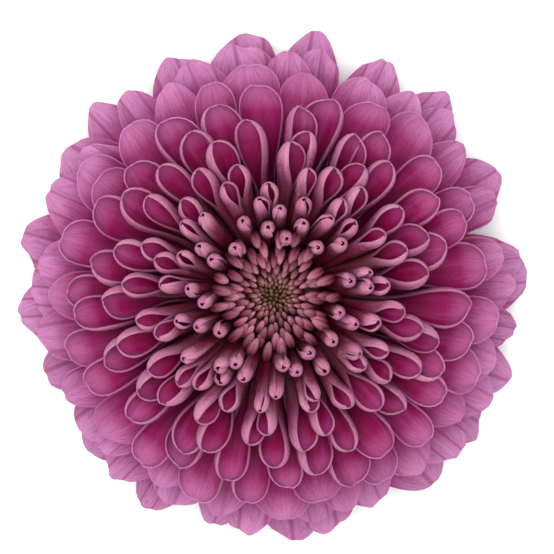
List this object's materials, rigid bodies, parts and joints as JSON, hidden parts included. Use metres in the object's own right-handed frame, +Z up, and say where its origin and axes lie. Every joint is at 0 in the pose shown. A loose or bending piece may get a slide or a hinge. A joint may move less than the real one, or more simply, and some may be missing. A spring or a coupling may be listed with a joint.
{
  "type": "disbud chrysanthemum",
  "caption": "Cut flower head lying face up: petals rolled into quills round a closed eye, opening to spoons and then broad flat blades, over a cup of green bracts and a short ribbed stem.",
  "frame": {"origin": "on the surface that the bloom lies on, under the middle of its footprint", "axes": "+Z up, out of the eye; +Y towards the top of the bloom as pictured and +X to its right"},
  "size_m": [0.1158, 0.116, 0.0468],
  "materials": {
    "ray_petal": "soft satin petal skin, deep magenta inside and pale dusty pink outside",
    "young_petal": "matt closed buds, dusty rose turning olive at the middle",
    "bract": "matt green with thin papery margins",
    "stalk": "satin green skin with pale ribs and a pithy cut end"
  },
  "bodies": {
    "root": {"ray_florets": "ray_petal", "young_florets": "young_petal", "involucre": "bract", "stem": "stalk"}
  },
  "joints": []
}
